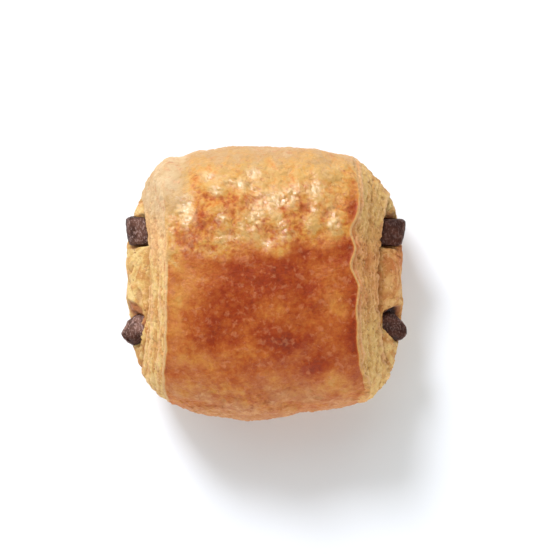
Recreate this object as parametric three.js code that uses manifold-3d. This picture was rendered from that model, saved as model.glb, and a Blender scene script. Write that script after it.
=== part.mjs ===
// A mini pain au chocolat: one sheet of laminated dough rolled round two chocolate sticks and baked.
// Millimetres, +Z up. X runs along the roll from its left end to its right, and +Y is the back.
// The origin is on the surface that the pastry rests on, under the middle of its bounding box.

import * as THREE from "three";
import { mergeVertices } from "three/addons/utils/BufferGeometryUtils.js";
import Module from "manifold-3d";

const wasm = await Module();
wasm.setup();

const { lerp, degToRad } = THREE.MathUtils;
const TURN = 2 * Math.PI;

// The pastry's middle section, drawn round a centre at the height where the roll is widest.
const WIDTH = 61.4;
const HEIGHT = 36;
const GIRTH_HEIGHT = 14;
const BASE_REACH = 17; // how far below its centre a section would reach if the base weren't flat
const TOP_POWER = 2.45; // superellipse powers: a domed top over a squarer foot
const BASE_POWER = 3.2;

// How the middle section shrinks towards the ends of the browned top panel.
const PANEL_HALF = 21;
const BACK = { left: 2.8, right: 2.9, middle: -1.5, power: 2.6 };
const FRONT = { left: 4.4, right: 3.1, middle: -2.5, power: 1.9 };
const CROWN = { left: 1.9, right: 1.9, middle: -0.5, power: 2.4 };

// Each end, from the panel's edge outwards. The cut edges of the wraps slope out by flare to the
// coil inside them, and the coil bulges to the tip.
const LEFT = {
  side: -1, panel: 21.2, tip: 31.1, phase: 0.4,
  flare: { top: 4.2, side: 7, base: 4.5 },
  coil: { back: 20.2, front: 18.8, top: 7.2, base: 9 },
};
const RIGHT = {
  side: 1, panel: 19.8, tip: 31, phase: 2.1,
  flare: { top: 5.7, side: 8.7, base: 6 },
  coil: { back: 20.2, front: 21.4, top: 7.2, base: 9 },
};
const FLARE_POWER = 0.9; // under 1, the slope is steepest at the panel's edge
const COIL_TIP = { y: 0.8, z: 13.4 };
const COIL_ROUNDNESS = 2.3;

// The seams between one wrap and the next, seen as grooves on the cut ends.
const SEAM_SHARE = 0.38; // of the way from the panel's edge to the coil, where the seam starts
const SEAM_SPIRAL = 0.18; // how much further in the seam is after one turn
const SEAM_HALF_WIDTH = 0.05; // as a share of the same way
const SEAM_DEPTH = 1.5;
const SEAM_FADE = 0.1; // the share of a turn, at the base, where the seam closes

// The grid of the skin.
const ROUND_STEPS = 60;
const PANEL_STEPS = 12;
const EDGE_ROUNDING = 1.4;
const FOOT_LIFT = 1.1; // how far the cut ends stay off the surface that the roll rests on

// The chocolate sticks, bars with a square section that lie along the roll.
const STICK_SIDE = 5.9;
const STICK_SQUARENESS = 5;
const STICK_GAP = 0.35;
const CHANNEL_OVERRUN = 12;
const STICK_STEPS = 10;
const STICK_SIDES = 16;
const STICK_TIP = [{ back: 0, size: 0.72 }, { back: 0.4, size: 0.93 }]; // its worn edges
const STICK_WEAR = 1.2; // how far back from its end a stick has its full section
const STICK_BEND_POWER = 4; // high, as a stick only bends near its ends
const STICKS = [
  {
    name: "chocolate_stick_back",
    y: 11.3, z: 17.2, roll: 5, sag: 0.4,
    left: { x: -30.3, lean: -0.12, slope: 0.05, drift: 0.1 },
    right: { x: 31.1, lean: 0.15, slope: 0.04, drift: -0.1 },
  },
  {
    name: "chocolate_stick_front",
    y: -10.1, z: 17, roll: -24, sag: 1,
    left: { x: -29.9, lean: 0.17, slope: -0.52, drift: -0.7 },
    right: { x: 29.7, lean: -0.37, slope: 0.52, drift: 0.35 },
  },
];

// Where the dough stands away from each stick as it leaves the roll: a hollow round its mouth.
const MOUTH = { x: 30.2, reach: new THREE.Vector3(3.4, 5, 5.2) };
const MOUTHS = [
  { side: -1, stick: 0, y: 0.4, z: 0.4 },
  { side: 1, stick: 0, y: 0.2, z: 0.2 },
  { side: -1, stick: 1, y: 2.2, z: -0.4 },
  { side: 1, stick: 1, y: 1.2, z: 0 },
];

const DOUGH = new THREE.MeshStandardMaterial({ color: 0xc88a45, roughness: 0.55, metalness: 0 });
const CHOCOLATE = new THREE.MeshStandardMaterial({ color: 0x4a2a20, roughness: 0.5, metalness: 0 });

// ---------------------------------------------------------------- solids from rings of points

// A closed geometry through rings of [x, y, z] points. Each ring runs from +Y towards +Z, and the
// rings follow each other towards +X. The first and last close on their middle points.
function loftGeometry(rings) {
  const count = rings[0].length;
  const middle = (ring) => [0, 1, 2].map((k) => ring.reduce((sum, p) => sum + p[k], 0) / ring.length);
  const positions = [...rings.flat(), middle(rings[0]), middle(rings.at(-1))];
  const first = positions.length - 2;
  const last = positions.length - 1;
  const index = [];
  for (let j = 0; j < count; j++) {
    const next = (j + 1) % count;
    for (let i = 0; i < rings.length - 1; i++) {
      const [a, b] = [i * count + j, i * count + next];
      const [c, d] = [a + count, b + count];
      index.push(a, b, c, b, d, c);
    }
    const end = (rings.length - 1) * count;
    index.push(first, next, j, last, end + j, end + next);
  }
  return new THREE.BufferGeometry()
    .setAttribute("position", new THREE.Float32BufferAttribute(positions.flat(), 3))
    .setIndex(index);
}

function toSolid(geometry) {
  const bare = geometry.clone();
  bare.deleteAttribute("normal");
  bare.deleteAttribute("uv");
  const merged = mergeVertices(bare, 1e-4);
  return new wasm.Manifold(
    new wasm.Mesh({
      numProp: 3,
      vertProperties: new Float32Array(merged.attributes.position.array),
      triVerts: new Uint32Array(merged.index.array),
    }),
  );
}

function toGeometry(solid) {
  const mesh = solid.getMesh();
  const geometry = new THREE.BufferGeometry()
    .setAttribute("position", new THREE.BufferAttribute(mesh.vertProperties, 3))
    .setIndex(new THREE.BufferAttribute(mesh.triVerts, 1));
  geometry.computeVertexNormals();
  return geometry;
}

// ---------------------------------------------------------------- the rolled dough

const tapered = (x, full, { left, right, middle, power }) =>
  full - (x < middle ? left : right) * (Math.abs(x - middle) / PANEL_HALF) ** power;

// The four reaches of the panel's section at x, from the section's centre.
const panelReaches = (x) => ({
  back: tapered(x, WIDTH / 2, BACK),
  front: tapered(x, WIDTH / 2, FRONT),
  top: tapered(x, HEIGHT - GIRTH_HEIGHT, CROWN),
  base: BASE_REACH,
});

const NO_REACH = { back: 0, front: 0, top: 0, base: 0 };

const mixReaches = (from, to, share) =>
  Object.fromEntries(Object.keys(from).map((key) => [key, lerp(from[key], to[key], share)]));

const signedPower = (value, power) => Math.sign(value) * Math.abs(value) ** power;

// The point of a section at an angle from +Y towards +Z, as [y, z]. y and z are the section's
// centre, and it is cut off flat at the foot height.
function sectionPoint(angle, reaches, { y = 0, z = GIRTH_HEIGHT, foot = 0 } = {}) {
  const [cos, sin] = [Math.cos(angle), Math.sin(angle)];
  const across = cos >= 0 ? reaches.back : reaches.front;
  const upright = sin >= 0 ? reaches.top : reaches.base;
  const power = 2 / (sin >= 0 ? TOP_POWER : BASE_POWER);
  return [y + across * signedPower(cos, power), Math.max(z + upright * signedPower(sin, power), foot)];
}

// Angles that space a section's points evenly along its outline.
function evenAngles(count) {
  const fine = Array.from({ length: 40 * count + 1 }, (_, i) => (TURN * i) / (40 * count));
  const points = fine.map((angle) => new THREE.Vector2(...sectionPoint(angle, panelReaches(0))));
  const along = [0];
  for (let i = 1; i < points.length; i++) along.push(along[i - 1] + points[i].distanceTo(points[i - 1]));
  const angles = [];
  for (let i = 0, k = 0; k < count; k++) {
    while (along[i] < (k / count) * along.at(-1)) i++;
    angles.push(fine[i]);
  }
  return angles;
}

const ANGLES = evenAngles(ROUND_STEPS);

// Low swells of the baked dough, as a share of its size.
const swell = (x, angle) =>
  1 +
  0.007 * Math.sin(2 * angle + x / 7) +
  0.005 * Math.sin(5 * angle - x / 4.5 + 1) +
  0.004 * Math.sin(3 * angle + x / 3 + 2);

// How far the panel's edge wanders from its mean line at one end.
const edgeWander = (end, angle) =>
  0.45 * Math.sin(4 * angle + end.phase) + 0.3 * Math.sin(9 * angle + 3 * end.phase);

// How far an end slopes out between the panel's edge and the coil, by the way that the angle faces.
function flareAt(end, angle) {
  const [cos, sin] = [Math.cos(angle), Math.sin(angle)];
  return end.flare.side * cos ** 2 + (sin >= 0 ? end.flare.top : end.flare.base) * sin ** 2;
}

// Where the seam between the two wraps lies at an angle, and how deep it is. The roll's tail is at
// the middle of the base, and the seam winds inwards from there over the front.
function seamAt(angle) {
  const turned = (((0.75 - angle / TURN) % 1) + 1) % 1;
  const fade = THREE.MathUtils.smoothstep(Math.min(turned, 1 - turned), 0, SEAM_FADE);
  return { share: SEAM_SHARE + SEAM_SPIRAL * turned * fade, depth: SEAM_DEPTH * fade };
}

// A ring of the skin between the ends, drawn in by an inset where the skin turns over at its edges.
function panelRing(x, inset = 0) {
  const reaches = panelReaches(x);
  for (const key of ["back", "front", "top"]) reaches[key] -= inset;
  return ANGLES.map((angle) => {
    const [y, z] = sectionPoint(angle, reaches, { foot: inset });
    const grown = swell(x, angle);
    return [x, y * grown, z * grown];
  });
}

// A ring on the cut edges of the wraps. share tells how far in it lies, from 0 at the panel's edge
// to 1 at the coil, and sunk how far it lies below the slope.
function wrapRing(end, shareAt, sunkAt) {
  const rim = panelReaches(end.side * end.panel);
  return ANGLES.map((angle) => {
    const share = shareAt(angle);
    const foot = FOOT_LIFT * (1 + share);
    const [y, z] = sectionPoint(angle, mixReaches(rim, end.coil, share), { foot });
    const wander = edgeWander(end, angle) * (1 - share);
    const out = end.panel + wander + flareAt(end, angle) * share ** FLARE_POWER;
    const grown = lerp(swell(end.side * end.panel, angle), 1, share);
    return [end.side * (out - sunkAt(angle)), y * grown, z * grown];
  });
}

// A ring on the bulging end of the coil, from size 1 at the wraps to 0 at the tip.
function coilRing(end, size) {
  const centre = { y: lerp(COIL_TIP.y, 0, size), z: lerp(COIL_TIP.z, GIRTH_HEIGHT, size) };
  return ANGLES.map((angle) => {
    const edge = end.panel + flareAt(end, angle);
    const [y, z] = sectionPoint(angle, mixReaches(NO_REACH, end.coil, size), centre);
    return [end.side * lerp(edge, end.tip, 1 - size ** COIL_ROUNDNESS), y, z];
  });
}

// One end's rings, from the panel's edge to the coil's tip.
function endRings(end) {
  const flat = () => 0;
  const at = (share) => () => share;
  const bySeam = (offset) => (angle) => seamAt(angle).share + offset;
  return [
    wrapRing(end, at(0.03), flat),
    wrapRing(end, at(0.2), () => 0.3),
    wrapRing(end, bySeam(-SEAM_HALF_WIDTH), flat),
    wrapRing(end, bySeam(0), (angle) => seamAt(angle).depth),
    wrapRing(end, bySeam(SEAM_HALF_WIDTH), () => -0.2),
    wrapRing(end, at(0.8), () => 0.2),
    wrapRing(end, at(0.95), flat),
    wrapRing(end, at(1), () => SEAM_DEPTH),
    ...[0.93, 0.8, 0.6, 0.36, 0.14].map((size) => coilRing(end, size)),
  ];
}

function pastryBody() {
  const rings = [...endRings(LEFT)].reverse();
  rings.push(panelRing(EDGE_ROUNDING / 3 - LEFT.panel, EDGE_ROUNDING / 3));
  for (let i = 0; i <= PANEL_STEPS; i++) {
    rings.push(panelRing(lerp(EDGE_ROUNDING - LEFT.panel, RIGHT.panel - EDGE_ROUNDING, i / PANEL_STEPS)));
  }
  rings.push(panelRing(RIGHT.panel - EDGE_ROUNDING / 3, EDGE_ROUNDING / 3), ...endRings(RIGHT));
  return toSolid(loftGeometry(rings));
}

// ---------------------------------------------------------------- the chocolate sticks

const endOf = (stick, share) => (share < 0 ? stick.left : stick.right);

// A stick's section at share, from -1 at its left end to 1 at its right, grown by margin. beyond
// shifts it outwards.
function stickRing(stick, share, { beyond = 0, margin = 0, size = 1 }) {
  const end = endOf(stick, share);
  const x = end.x * Math.abs(share) + Math.sign(share) * beyond;
  const bend = Math.abs(share) ** STICK_BEND_POWER;
  const middle = { y: stick.y + end.drift * bend, z: stick.z - stick.sag * bend };
  const half = (STICK_SIDE / 2) * size + margin;
  const roll = degToRad(stick.roll);
  return Array.from({ length: STICK_SIDES }, (_, k) => {
    const angle = (TURN * (k + 0.5)) / STICK_SIDES;
    const across = half * signedPower(Math.cos(angle), 2 / STICK_SQUARENESS);
    const up = half * signedPower(Math.sin(angle), 2 / STICK_SQUARENESS);
    const y = across * Math.cos(roll) - up * Math.sin(roll);
    const z = across * Math.sin(roll) + up * Math.cos(roll);
    return [x + bend * (end.lean * y + end.slope * z), middle.y + y, middle.z + z];
  });
}

function stickGeometry(stick) {
  const tip = (side) => STICK_TIP.map(({ back, size }) => stickRing(stick, side, { beyond: -back, size }));
  const rings = [];
  for (let i = 0; i <= STICK_STEPS; i++) {
    const share = lerp(-1, 1, i / STICK_STEPS);
    rings.push(stickRing(stick, share, { beyond: Math.abs(share) === 1 ? -STICK_WEAR : 0 }));
  }
  return loftGeometry([...tip(-1), ...rings, ...tip(1).reverse()]);
}

// The channel that a stick leaves through the dough, open at both ends.
function channelSolid(stick) {
  const rings = [stickRing(stick, -1, { beyond: CHANNEL_OVERRUN, margin: STICK_GAP })];
  for (let i = 0; i <= STICK_STEPS; i++) {
    rings.push(stickRing(stick, lerp(-1, 1, i / STICK_STEPS), { margin: STICK_GAP }));
  }
  rings.push(stickRing(stick, 1, { beyond: CHANNEL_OVERRUN, margin: STICK_GAP }));
  return toSolid(loftGeometry(rings));
}

function mouthSolid({ side, stick, y, z }) {
  const { y: stickY, z: stickZ } = STICKS[stick];
  const geometry = new THREE.SphereGeometry(1, 18, 12)
    .scale(...MOUTH.reach.toArray())
    .translate(side * MOUTH.x, stickY + y, stickZ + z);
  return toSolid(geometry);
}

// ---------------------------------------------------------------- the assembled pastry

function pastrySolid() {
  let body = pastryBody();
  for (const stick of STICKS) body = body.subtract(channelSolid(stick));
  for (const mouth of MOUTHS) body = body.subtract(mouthSolid(mouth));
  return body;
}

const pastry = new THREE.Mesh(toGeometry(pastrySolid()), DOUGH);
pastry.name = "pastry";

const sticks = STICKS.map((stick) => {
  const mesh = new THREE.Mesh(stickGeometry(stick), CHOCOLATE);
  mesh.name = stick.name;
  return mesh;
});

const painAuChocolat = new THREE.Group();
painAuChocolat.add(pastry, ...sticks);

// The origin goes under the middle of the bounding box.
const bounds = new THREE.Box3().setFromObject(painAuChocolat);
const centre = bounds.getCenter(new THREE.Vector3());
painAuChocolat.position.set(-centre.x, -centre.y, -bounds.min.z);

export default painAuChocolat;
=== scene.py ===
"""A mini pain au chocolat: the looks of the baked dough, its chocolate sticks and its light.

Shapes are worked out in millimetres round the middle of the roll, and then set into the frame.
X runs along the roll, +Y is the back and +Z is up. Angles round a section run from +Y to +Z.
Every noise has a fixed seed, so each run gives the same pastry.
"""

import math
from types import SimpleNamespace as Named

import bpy
import numpy as np
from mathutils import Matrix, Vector


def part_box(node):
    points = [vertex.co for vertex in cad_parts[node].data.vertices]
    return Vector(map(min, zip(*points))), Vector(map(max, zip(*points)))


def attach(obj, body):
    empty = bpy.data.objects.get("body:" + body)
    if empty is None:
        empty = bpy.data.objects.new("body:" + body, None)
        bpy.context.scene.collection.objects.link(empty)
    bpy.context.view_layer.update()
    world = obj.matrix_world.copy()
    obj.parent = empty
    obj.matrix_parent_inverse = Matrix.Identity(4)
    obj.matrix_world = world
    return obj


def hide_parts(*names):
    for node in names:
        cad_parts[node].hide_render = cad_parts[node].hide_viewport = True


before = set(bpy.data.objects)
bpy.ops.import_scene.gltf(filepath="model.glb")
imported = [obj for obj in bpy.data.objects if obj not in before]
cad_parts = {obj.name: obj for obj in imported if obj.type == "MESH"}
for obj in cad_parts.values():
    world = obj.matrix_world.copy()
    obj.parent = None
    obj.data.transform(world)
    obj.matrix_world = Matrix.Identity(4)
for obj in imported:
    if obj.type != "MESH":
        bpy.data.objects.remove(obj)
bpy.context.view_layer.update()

MM = 0.001
TURN = 2 * math.pi


def node_box(node):
    """The lowest and highest corner of a CAD node, in millimetres."""
    low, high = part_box(node)
    return np.array(low) / MM, np.array(high) / MM


PASTRY_LOW, PASTRY_HIGH = node_box("pastry")
MIDDLE = (PASTRY_LOW + PASTRY_HIGH) / 2 * (1, 1, 0)
HALF_LENGTH, HALF_WIDTH, HEIGHT = (PASTRY_HIGH - PASTRY_LOW) / (2, 2, 1)


def new_object(name, data):
    """An object in the scene that shows a mesh, a light or a camera."""
    made = bpy.data.objects.new(name, data)
    bpy.context.collection.objects.link(made)
    return made


# ---- camera

CAMERA_HEIGHT = 344
CAMERA_ASIDE = (2.9, 1.2)  # the pastry lies a little left of and in front of the picture's middle
LENS = 95.3
SENSOR_WIDTH = 36
NEAREST_SEEN = 10


def make_camera():
    """A camera that looks straight down."""
    data = bpy.data.cameras.new("camera")
    data.lens = LENS
    data.sensor_width = SENSOR_WIDTH
    data.clip_start = NEAREST_SEEN * MM
    camera = new_object("camera", data)
    camera.location = np.array((*CAMERA_ASIDE, CAMERA_HEIGHT)) * MM
    bpy.context.scene.camera = camera


# ---- sizes

# The roll's middle section, round a centre at its widest height, as superellipse quarters.
GIRTH_HEIGHT = 0.387 * HEIGHT
BASE_REACH = 0.47 * HEIGHT
TOP_POWER = 2.45
BASE_POWER = 3.2

# How the section shrinks to each side of the middle: by left or right at 21 mm, by a power.
TAPER_AT = 21
BACK_TAPER = dict(left=2.8, right=2.9, middle=-1.5, power=2.6)
FRONT_TAPER = dict(left=4.4, right=3.1, middle=-2.5, power=1.9)
CROWN_TAPER = dict(left=1.9, right=1.9, middle=-0.5, power=2.4)
# Flats and swells along its back and its front: x, the reach along x, and the way out.
BACK_SWELLS = ((-18.4, 2.4, -0.9), (1.5, 5.5, -0.6), (19.8, 2.6, 0.5))
FRONT_SWELLS = ((-19.2, 3.6, -0.6), (-3, 3.5, 0.4), (9.4, 5.2, -1.25), (20, 3, 0.3))

# Waves in the skin's edges on top: y, the way out, and the reach along y.
LEFT_WAVES = ((25, 1, 8), (-25, 1, 9))
RIGHT_WAVES = (
    (21, 0.6, 4.5), (11.6, -1.6, 2.9), (4.1, -1.55, 2.8), (-1, 0.35, 1.6), (-6.8, -0.35, 2.2),
    (-17.5, 0.35, 1.8), (-27, 2.5, 6.5),
)

# Each end, from the edge of the browned panel outwards: how far out that edge and the coil's tip lie,
# how far the skin's edge stands out past the panel, how much it wavers and its waves, how far the wraps
# slope out to the coil and swell on the way, and the coil's reaches at its rim. Then how torn the leaves
# are, how far they show on top, the layers that stand proud, how far the pale skin runs over the back
# corner, and how brown the cut end is baked, everywhere and between the sticks.
LEFT = Named(
    side=-1, panel=21.2, tip=HALF_LENGTH + 0.1, edge=-0.7, wander=0.3, waves=LEFT_WAVES,
    flare=dict(top=3.9, side=6.3, base=4.5), bulge=dict(back=1.5, front=1),
    coil=dict(back=19.5, front=19.7, top=7.2, base=9),
    rough=0.45, leafy=0.7, ridges=(1.55, 4.4, 5.6), covered=1, toast=0.02, blush=0, seed=11,
)
RIGHT = Named(
    side=1, panel=19.8, tip=HALF_LENGTH + 0.4, edge=0.45, wander=0.12, waves=RIGHT_WAVES,
    flare=dict(top=5.7, side=8.7, base=6), bulge=dict(back=0.2, front=1.1),
    coil=dict(back=19.6, front=20.8, top=7.2, base=9),
    rough=0.6, leafy=0.3, ridges=(0.4, 5.6), covered=0, toast=0.2, blush=0.15, seed=12,
)
FLARE_POWER = 0.9
COIL_TIP = (0.8, 13.4)  # the y and z of the coil's tip
COIL_ROUNDNESS = 2.3

SEAM_SHARE = 0.38  # of the way from the skin to the coil, where the seam between the wraps starts
SEAM_SPIRAL = 0.18  # how far it winds inwards in a turn
SEAM_DEPTH = 1.5
SEAM_FADE = 0.1  # of a turn, over which it opens

ROUND_STEPS = 400
PANEL_STEPS = 136
WRAP_LAYERS = 3  # the thick leaves of baked dough that each of the two wraps shows at its cut edge
LAYER_STEPS = (0, 0.06, 0.14, 0.25, 0.38, 0.52, 0.66, 0.78, 0.88, 0.95)

STICK_SIDE = 5.9
STICK_SQUARENESS = 5
# Each stick's axis, roll and sag. Of each end: how far out it is, how its face leans along y and slopes
# along z, how pointed it is and at which y, how far it drifts along y, how worn and how square it is,
# and how much larger than the middle.
STICKS = {
    "chocolate_stick_back": Named(
        y=11.3, z=17.2, roll=5, sag=0.4, seed=21,
        left=Named(x=-30.4, lean=-0.12, slope=0.05, point=(0, 0), drift=0.2, wear=1, square=4, grow=1.07),
        right=Named(x=31.3, lean=0.15, slope=0.04, point=(0, 0), drift=-0.1, wear=1, square=5, grow=1),
    ),
    "chocolate_stick_front": Named(
        y=-10.1, z=17, roll=-24, sag=1, seed=22,
        left=Named(
            x=-30.2, lean=0, slope=-0.5, point=(0.24, -1), drift=-0.75, wear=1.2, square=3.6, grow=1.05,
        ),
        right=Named(
            x=31, lean=-0.1, slope=0.4, point=(0.4, -1), drift=0.05, wear=1.4, square=2.8, grow=1.04,
        ),
    ),
}

# ---- noise and small helpers

EDGE_WAYS = np.array(
    [(x, y, 0) for x in (-1, 1) for y in (-1, 1)]
    + [(x, 0, z) for x in (-1, 1) for z in (-1, 1)]
    + [(0, y, z) for y in (-1, 1) for z in (-1, 1)],
    float,
)


def gradient_noise(points, seed):
    """Perlin noise at an array of points, with one feature a unit: a hash gives each corner its way."""
    cell = np.floor(points).astype(np.int64)
    within = points - cell
    blend = within**3 * (within * (within * 6 - 15) + 10)
    total = np.zeros(points.shape[:-1])
    for corner in np.ndindex(2, 2, 2):
        c = cell + corner
        mixed = c[..., 0] * 73856093 ^ c[..., 1] * 19349663 ^ c[..., 2] * 83492791 ^ seed * 40503
        mixed = (mixed ^ (mixed >> 15)) * 2246822519 & 0xFFFFFFFF
        mixed = (mixed ^ (mixed >> 13)) * 3266489917 & 0xFFFFFFFF
        way = EDGE_WAYS[((mixed ^ (mixed >> 16)) & 0xFFFFFFFF) % 12]
        weight = np.where(corner, blend, 1 - blend).prod(-1)
        total += weight * ((within - corner) * way).sum(-1)
    return total


# How much smaller and weaker each further octave of a noise is, and how much higher its seed.
OCTAVE_SIZE, OCTAVE_STRENGTH, OCTAVE_SEED = 0.47, 0.5, 101
NOISE_GAIN = 1.3  # brings it to about -1 to 1


def noise(points, size, seed, octaves=1):
    """Noise from about -1 to 1 with features of that size in millimetres."""
    total, strength = 0, 1
    for octave in range(octaves):
        total = total + strength * gradient_noise(np.asarray(points) / size, seed + OCTAVE_SEED * octave)
        size, strength = size * OCTAVE_SIZE, strength * OCTAVE_STRENGTH
    return total * NOISE_GAIN


def smoothstep(low, high, value):
    """From 0 where the value is low to 1 where it is high."""
    t = np.clip((value - low) / (high - low), 0, 1)
    return t * t * (3 - 2 * t)


def patchy(points, low, high, size, seed, octaves=1):
    """Patches from 0 to 1, where noise goes from low to high."""
    return smoothstep(low, high, noise(points, size, seed, octaves))


def bell(value, middle, reach, power=2):
    """From 1 at the middle to nearly 0 beyond the reach."""
    return np.exp(-(((value - middle) / reach) ** power))


def patch(x, y, at_x, at_y, reach_x, reach_y, power_y=2):
    """From 1 at a place on the top to nearly 0 beyond its reaches."""
    return np.exp(-(((x - at_x) / reach_x) ** 2) - ((y - at_y) / reach_y) ** power_y)


def lerp(a, b, t):
    return a + (b - a) * t


def signed_power(value, power):
    return np.sign(value) * np.abs(value) ** power


def fallen(way):
    """How far a rounded edge has fallen, from 1 at its foot, where the way is 0, to 0 from 1 on."""
    return 1 - np.sqrt(1 - (1 - np.clip(way, 0, 1)) ** 2)


# ---- meshes from rings of points


def add_piece(name, points, faces, attributes, material, replaced="pastry", slot="baked_dough"):
    """A smooth piece of the object from points in millimetres, riding on the one body."""
    mesh = bpy.data.meshes.new(name)
    mesh.from_pydata((points + MIDDLE) * MM, [], faces)
    mesh.polygons.foreach_set("use_smooth", np.ones(len(mesh.polygons), bool))
    for key, values in attributes.items():
        layer = mesh.attributes.new(key, "FLOAT", "POINT")
        layer.data.foreach_set("value", np.ascontiguousarray(values, np.float32).ravel())
    mesh.materials.append(material)
    piece = new_object(name, mesh)
    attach(piece, "root")
    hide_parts(replaced)
    return piece


def ring_faces(rings, steps):
    """Quads between rings that follow each other towards +X, closed by a fan on each end's middle."""
    i, j = np.meshgrid(np.arange(rings - 1), np.arange(steps), indexing="ij")
    a, b = i * steps + j, i * steps + (j + 1) % steps
    quads = np.stack([a, b, b + steps, a + steps], -1).reshape(-1, 4)
    k = np.arange(steps)
    after = (k + 1) % steps
    end = (rings - 1) * steps
    first, last = rings * steps, rings * steps + 1
    fans = [(first, n, m) for m, n in zip(k, after)] + [(last, end + m, end + n) for m, n in zip(k, after)]
    return quads.tolist() + fans


def close_rings(grid):
    """The points of a grid of rings, with the middle of the first and the last ring added."""
    return np.concatenate([grid.reshape(-1, grid.shape[-1]), grid[:1].mean(1), grid[-1:].mean(1)])


def add_grid(name, grid, marks, flip, material, *stands_for):
    """A closed piece from rings of points and their attributes, which flip where they run to -X."""
    order = slice(None, None, -1) if flip else slice(None)
    attributes = {key: close_rings(value[order, :, None])[:, 0] for key, value in marks.items()}
    faces = ring_faces(*grid.shape[:2])
    return add_piece(name, close_rings(grid[order]), faces, attributes, material, *stands_for)


def grid_normals(points):
    """Outward normals on a grid of rings that follow each other towards +X."""
    along = np.gradient(points, axis=0)
    around = np.roll(points, -1, 1) - np.roll(points, 1, 1)
    normals = np.cross(around, along)
    return normals / np.linalg.norm(normals, axis=-1, keepdims=True)


# ---- the roll's form


def tapered(x, full, left, right, middle, power):
    """A reach that is full at the middle and shrinks to each side."""
    return full - np.where(x < middle, left, right) * (np.abs(x - middle) / TAPER_AT) ** power


def swells(x, listed):
    """What the listed flats and swells add at x."""
    return sum(far * bell(x, at_x, reach) for at_x, reach, far in listed)


def panel_reaches(x):
    """How far the section at x reaches to each side of its centre."""
    return dict(
        back=tapered(x, HALF_WIDTH, **BACK_TAPER) + swells(x, BACK_SWELLS),
        front=tapered(x, HALF_WIDTH, **FRONT_TAPER) + swells(x, FRONT_SWELLS),
        top=tapered(x, HEIGHT - GIRTH_HEIGHT, **CROWN_TAPER),
        base=BASE_REACH + 0 * x,
    )


def mix_reaches(a, b, share):
    return {key: lerp(a[key], b[key], share) for key in b}


def section(angle, reaches, y=0, z=GIRTH_HEIGHT, foot=0):
    """The y and z of a section's outline at angles, cut off flat at the foot height."""
    cos, sin = np.cos(angle), np.sin(angle)
    power = 2 / np.where(sin >= 0, TOP_POWER, BASE_POWER)
    across = np.where(cos >= 0, reaches["back"], reaches["front"])
    upright = np.where(sin >= 0, reaches["top"], reaches["base"])
    return (
        y + across * signed_power(cos, power),
        np.maximum(z + upright * signed_power(sin, power), foot),
    )


FINE_STEPS = 40000
BASE_TOP, BASE_DENSITY = 0.3, 0.3  # how high the base reaches, and how dense its points are


def spread_angles(count):
    """Angles that space a section's points evenly, apart from the base, where they are sparse."""
    fine = np.linspace(0, TURN, FINE_STEPS + 1)
    y, z = section(fine, panel_reaches(0))
    step = np.hypot(np.diff(y), np.diff(z)) * np.where(z[1:] > BASE_TOP, 1, BASE_DENSITY)
    along = np.concatenate([[0], np.cumsum(step)])
    return np.interp(np.arange(count) / count * along[-1], along, fine)


ANGLES = spread_angles(ROUND_STEPS)
ROUND = np.linspace(0, TURN, ROUND_STEPS, endpoint=False)
RING_RADIUS = 21  # of the circle in the noise that a ring round the section follows
LEAVES_APART = 37  # how far apart the noise of two leaves lies
SEEDS_APART = 300


def ring_points(number, seed):
    """Points for noise that runs round the section, and differs from one leaf number to the next."""
    number = number + 0 * ROUND
    across, up = RING_RADIUS * np.cos(ROUND), RING_RADIUS * np.sin(ROUND)
    return np.stack(np.broadcast_arrays(across, up, number * LEAVES_APART + seed * SEEDS_APART), -1)


def swell(x, angle):
    """How much larger the dough is where it swells a little."""
    return (
        1
        + 0.007 * np.sin(2 * angle + x / 7)
        + 0.005 * np.sin(5 * angle - x / 4.5 + 1)
        + 0.004 * np.sin(3 * angle + x / 3 + 2)
    )


def edge_wander(end):
    """How far the skin's edge stands out past the panel, all round."""
    y, z = section(ANGLES, panel_reaches(0))
    out = end.edge + end.wander * noise(ring_points(0, end.seed), 6, 1, 3)
    for at_y, far, reach in end.waves:
        out = out + far * bell(y, at_y, reach) * smoothstep(10, 22, z)
    return out


def flare_at(end, angle):
    """How far the wraps slope out to the coil, at an angle."""
    upright = np.where(np.sin(angle) >= 0, end.flare["top"], end.flare["base"])
    return end.flare["side"] * np.cos(angle) ** 2 + upright * np.sin(angle) ** 2


def seam_at(angle):
    """Where the seam between the wraps lies, from the panel's edge to the coil, and how open it is."""
    turned = (0.75 - angle / TURN) % 1
    open_share = smoothstep(0, SEAM_FADE, np.minimum(turned, 1 - turned))
    return SEAM_SHARE + SEAM_SPIRAL * turned * open_share, open_share


# ---- the browned skin

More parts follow.
